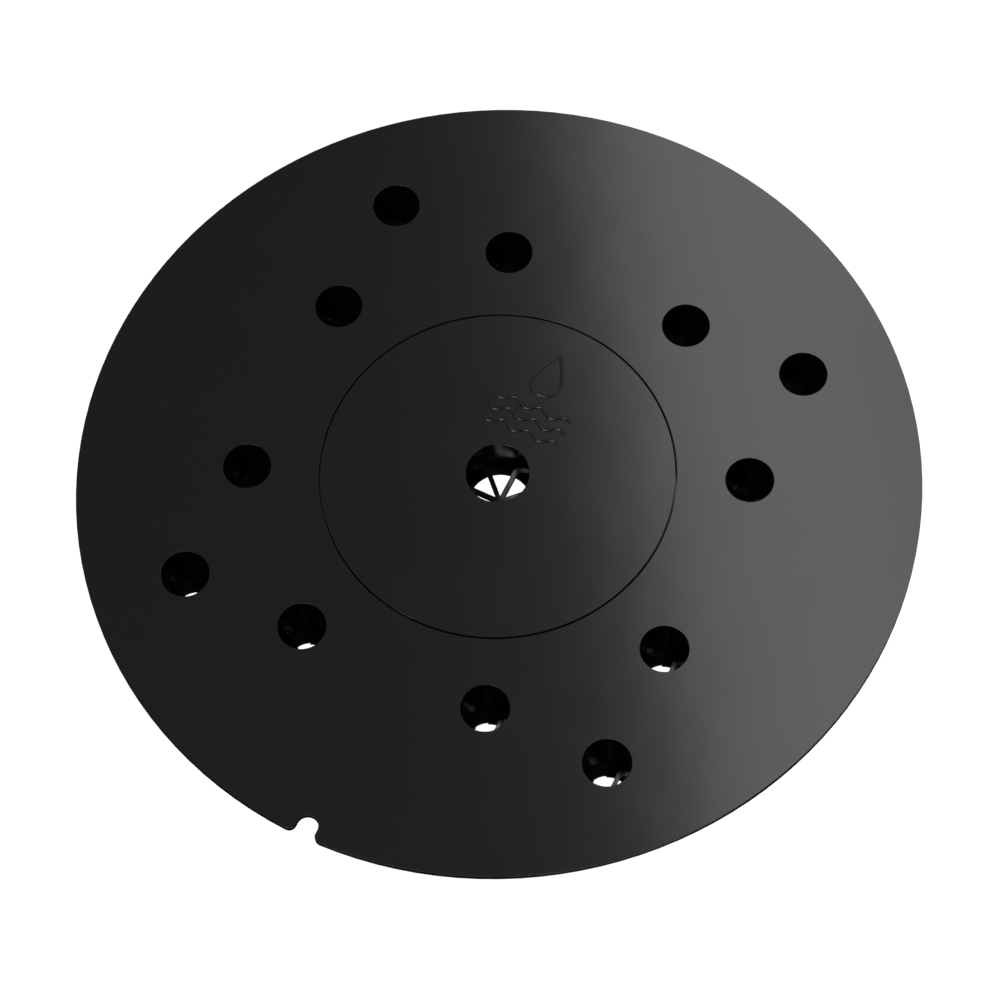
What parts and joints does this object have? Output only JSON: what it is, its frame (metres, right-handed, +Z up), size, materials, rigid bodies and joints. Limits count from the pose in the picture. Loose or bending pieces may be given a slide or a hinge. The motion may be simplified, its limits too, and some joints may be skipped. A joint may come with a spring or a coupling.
{
  "type": "plant pot aeration base",
  "caption": "Flat round pot base on hollow wick legs, with a lift-out centre cap that carries a drain well and an air diffuser ring, and a rim notch for the air line.",
  "frame": {"origin": "on the disc's axis at the level of the feet", "axes": "+Z up along the disc's axis, air line notch in the rim towards -Y"},
  "size_m": [0.3, 0.2999, 0.0366],
  "materials": {
    "moulded_plastic": "smooth moulded black polypropylene, satin to gloss",
    "trough_plastic": "moulded black plastic, fine spark texture",
    "porous_stone": "sintered porous mineral grain, blue grey",
    "nipple_plastic": "natural acetal, satin",
    "seal_rubber": "moulded rubber, matt",
    "hook_plastic": "moulded black acetal, satin"
  },
  "bodies": {
    "base": {"outer_plate": "moulded_plastic", "wick_leg_01": "moulded_plastic", "wick_leg_02": "moulded_plastic", "wick_leg_03": "moulded_plastic", "wick_leg_04": "moulded_plastic", "wick_leg_05": "moulded_plastic", "wick_leg_06": "moulded_plastic", "wick_leg_07": "moulded_plastic", "wick_leg_08": "moulded_plastic", "wick_leg_09": "moulded_plastic", "wick_leg_10": "moulded_plastic", "wick_leg_11": "moulded_plastic", "wick_leg_12": "moulded_plastic"},
    "cap": {"centre_cap": "moulded_plastic", "centre_well": "moulded_plastic", "diffuser_trough": "trough_plastic", "diffuser_stone": "porous_stone", "inlet_nipple": "nipple_plastic", "inlet_seal": "seal_rubber", "ring_hook_1": "hook_plastic", "ring_hook_2": "hook_plastic", "ring_hook_3": "hook_plastic", "ring_hook_4": "hook_plastic"}
  },
  "joints": [
    {"name": "cap_lift", "type": "slide", "parent": "base", "child": "cap", "axis": [0, 0, 1], "range_m": [0, 0.06]}
  ]
}
